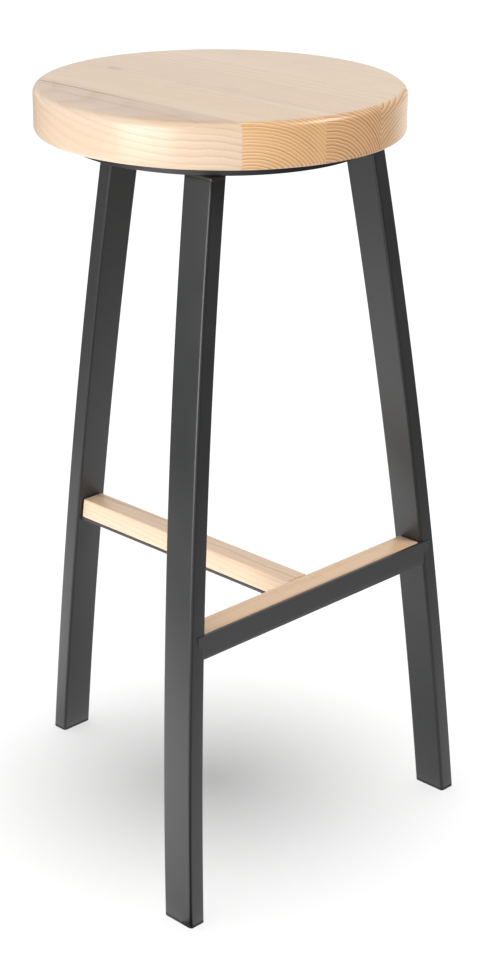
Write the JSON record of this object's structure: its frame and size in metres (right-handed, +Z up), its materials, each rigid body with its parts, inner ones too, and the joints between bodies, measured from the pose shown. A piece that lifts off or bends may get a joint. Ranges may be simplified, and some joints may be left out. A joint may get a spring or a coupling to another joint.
{
  "type": "bar stool with footrest",
  "caption": "Bar stool with a round glued wooden seat on bowed steel tube legs, tied by a T-shaped steel footrest with wooden treads.",
  "frame": {"origin": "on the floor, at the middle of the stool's outline", "axes": "+Z up; the footrest's crossbar and the two front legs are on the -Y side, the rear leg is on the +Y side, and +X runs along the crossbar"},
  "size_m": [0.4232, 0.452, 0.82],
  "materials": {
    "seat_wood": "clear satin varnish on pale glued ash staves",
    "tread_wood": "clear satin varnish",
    "frame_steel": "dark grey fine-texture powder coat",
    "glide_plastic": "moulded black polyethylene",
    "screw_steel": "bright zinc"
  },
  "bodies": {
    "root": {"seat_stave_1": "seat_wood", "seat_stave_2": "seat_wood", "seat_stave_3": "seat_wood", "seat_stave_4": "seat_wood", "seat_stave_5": "seat_wood", "seat_ring": "frame_steel", "leg_left": "frame_steel", "leg_right": "frame_steel", "leg_rear": "frame_steel", "leg_cap_left": "frame_steel", "leg_cap_right": "frame_steel", "leg_cap_rear": "frame_steel", "footrest_crossbar": "frame_steel", "footrest_stem": "frame_steel", "ring_welds": "frame_steel", "footrest_welds": "frame_steel", "crossbar_tread": "tread_wood", "stem_tread": "tread_wood", "glide_left": "glide_plastic", "glide_right": "glide_plastic", "glide_rear": "glide_plastic", "seat_screws": "screw_steel", "crossbar_screws": "screw_steel", "stem_screws": "screw_steel"}
  },
  "joints": []
}
